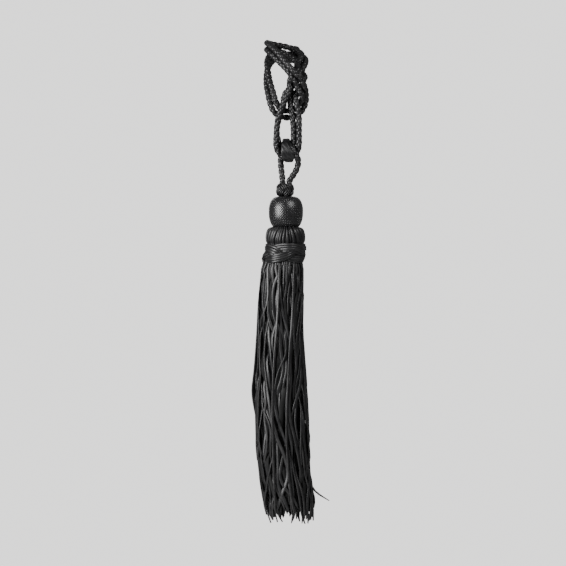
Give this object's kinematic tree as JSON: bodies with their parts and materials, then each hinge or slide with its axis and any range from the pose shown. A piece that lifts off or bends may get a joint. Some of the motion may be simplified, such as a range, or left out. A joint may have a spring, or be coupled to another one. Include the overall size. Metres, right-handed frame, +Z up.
{
  "type": "tassel tieback",
  "caption": "Braided leather cord doubled and tied in an open knot, with a leather tassel hung from it on a loop, a button knot and a covered bead.",
  "frame": {"origin": "the middle of the loop that goes round the gathered cloth", "axes": "+Z up along the hanging tassel, -Y to the front where the knot and the tassel show, +X to the right seen from the front"},
  "size_m": [0.1126, 0.1504, 0.6833],
  "materials": {
    "braid": "black braided lace, soft gloss on the crowns",
    "bead_cover": "black plaited leather, polished",
    "laces": "black cut lace, satin with a matt flesh side"
  },
  "bodies": {
    "root": {"tie_cord": "braid", "hanging_loop": "braid", "wrap": "laces", "button_knot": "braid", "bead": "bead_cover", "tassel": "laces", "woven_band": "laces"}
  },
  "joints": []
}
